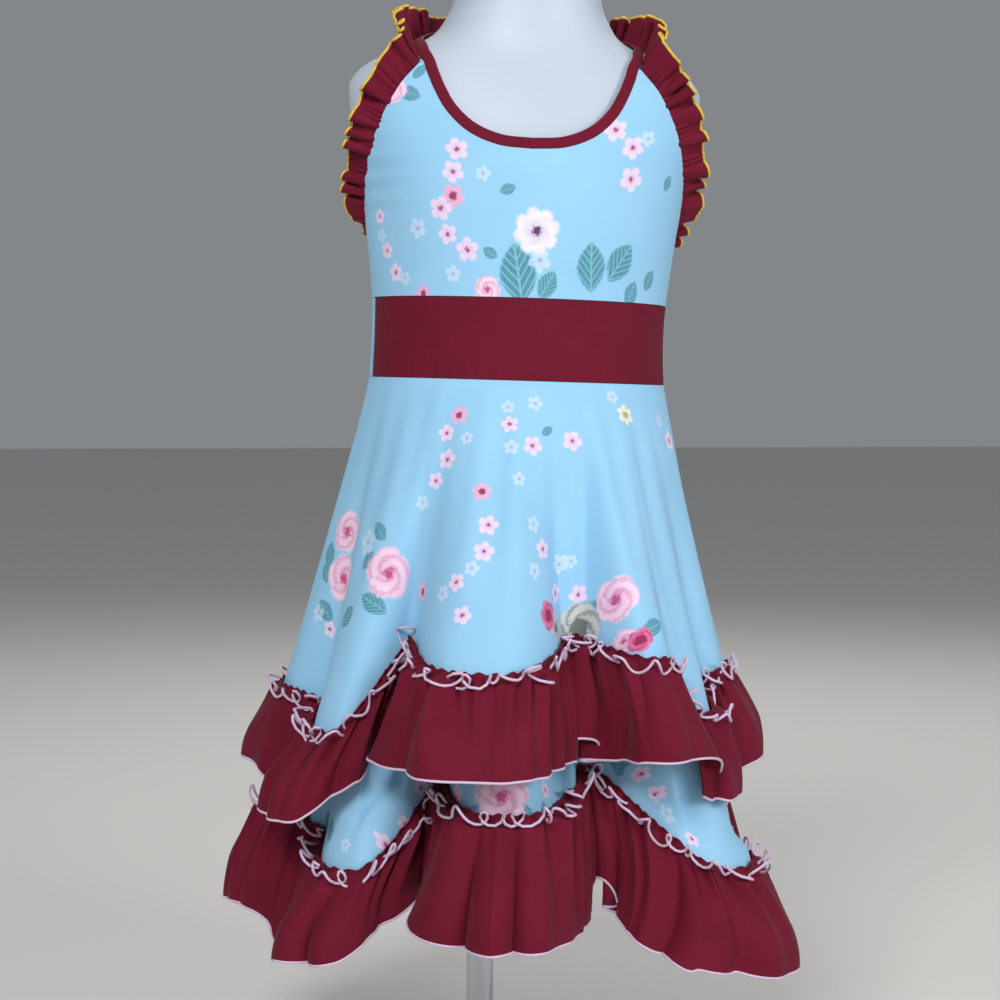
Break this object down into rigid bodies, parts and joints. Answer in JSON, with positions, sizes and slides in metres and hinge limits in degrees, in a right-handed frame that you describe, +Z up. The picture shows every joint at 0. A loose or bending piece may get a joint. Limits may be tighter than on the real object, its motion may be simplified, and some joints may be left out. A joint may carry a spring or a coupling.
{
  "type": "ruffle dress on a limbless dress form with a pole stand",
  "caption": "Child's halter dress with two handkerchief-hem tiers, each edged with a gathered ruffle, worn by a limbless dress form on a pole and round base.",
  "frame": {"origin": "centre of the base's underside, on the pole's axis", "axes": "+Z up along the pole, -Y out of the dress's front, +X to the wearer's left"},
  "size_m": [0.3821, 0.4082, 0.805],
  "materials": {
    "floral_cotton": "printed woven cotton, matt",
    "burgundy_cotton": "dyed woven cotton, matt",
    "form_shell": "satin white moulded shell",
    "polished_steel": "polished, plated"
  },
  "bodies": {
    "root": {"front_bodice": "floral_cotton", "back_bodice": "floral_cotton", "front_waistband": "burgundy_cotton", "back_waistband": "floral_cotton", "neck_binding": "burgundy_cotton", "armhole_frill_left": "burgundy_cotton", "armhole_frill_right": "burgundy_cotton", "upper_skirt_front": "floral_cotton", "upper_skirt_back": "floral_cotton", "upper_ruffle": "burgundy_cotton", "lower_skirt_front": "floral_cotton", "lower_skirt_back": "floral_cotton", "lower_ruffle": "burgundy_cotton", "dress_form": "form_shell", "stand_pole": "polished_steel", "stand_base": "polished_steel"}
  },
  "joints": []
}
